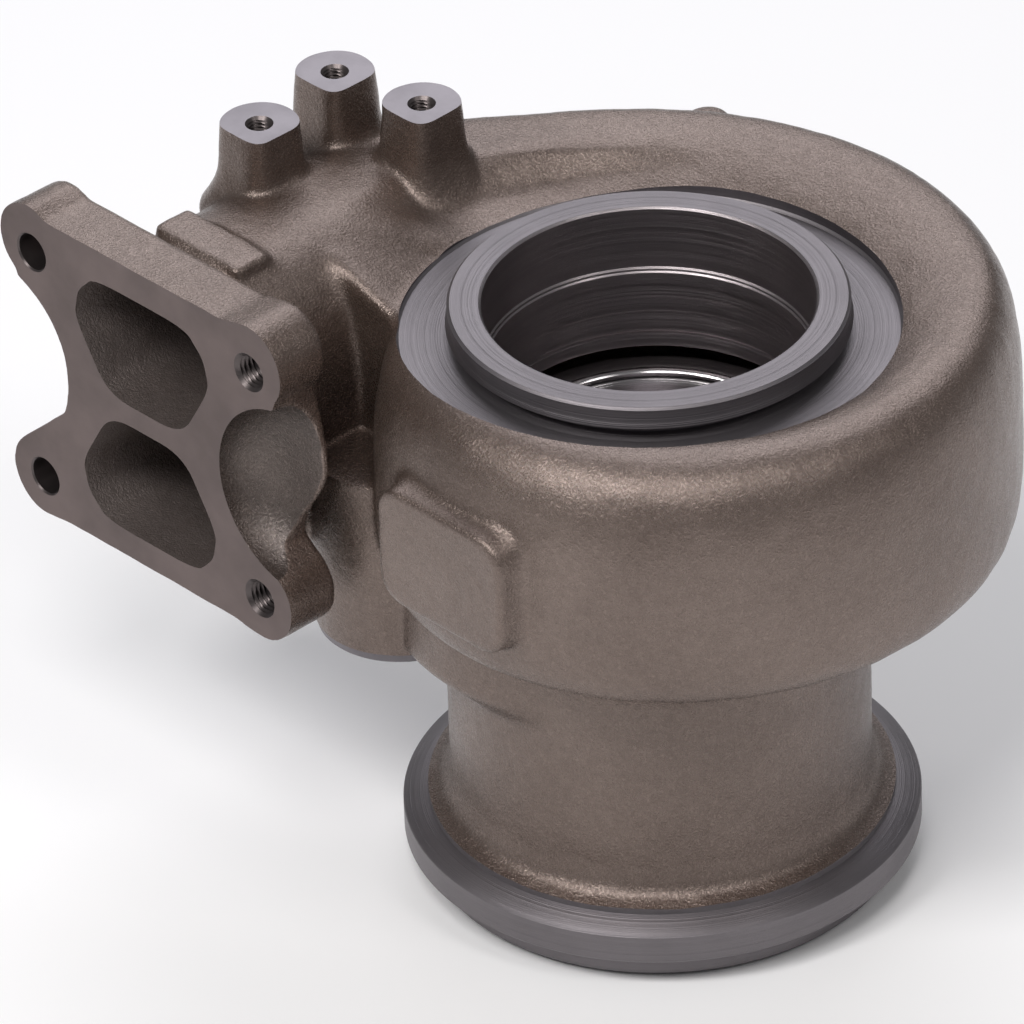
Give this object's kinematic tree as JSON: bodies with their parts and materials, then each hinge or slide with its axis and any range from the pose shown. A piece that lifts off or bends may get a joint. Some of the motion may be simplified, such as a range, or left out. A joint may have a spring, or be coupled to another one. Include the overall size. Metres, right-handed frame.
{
  "type": "turbocharger turbine housing",
  "caption": "Divided-scroll exhaust turbine housing: waisted inlet flange with split ports, bearing seat ring on top and a clamp-rimmed outlet neck below.",
  "frame": {"origin": "centre of the bounding box in X and Y, on the plane that the outlet's bottom face stands on", "axes": "+Z along the turbine axis from the outlet up to the bearing housing ring; -Y out of the inlet flange; the inlet duct lies on the -X side"},
  "size_m": [0.2878, 0.226, 0.224],
  "materials": {
    "cast_iron": "as-cast sandy skin, mating faces machined bright"
  },
  "bodies": {
    "root": {"turbine_housing": "cast_iron"}
  },
  "joints": []
}
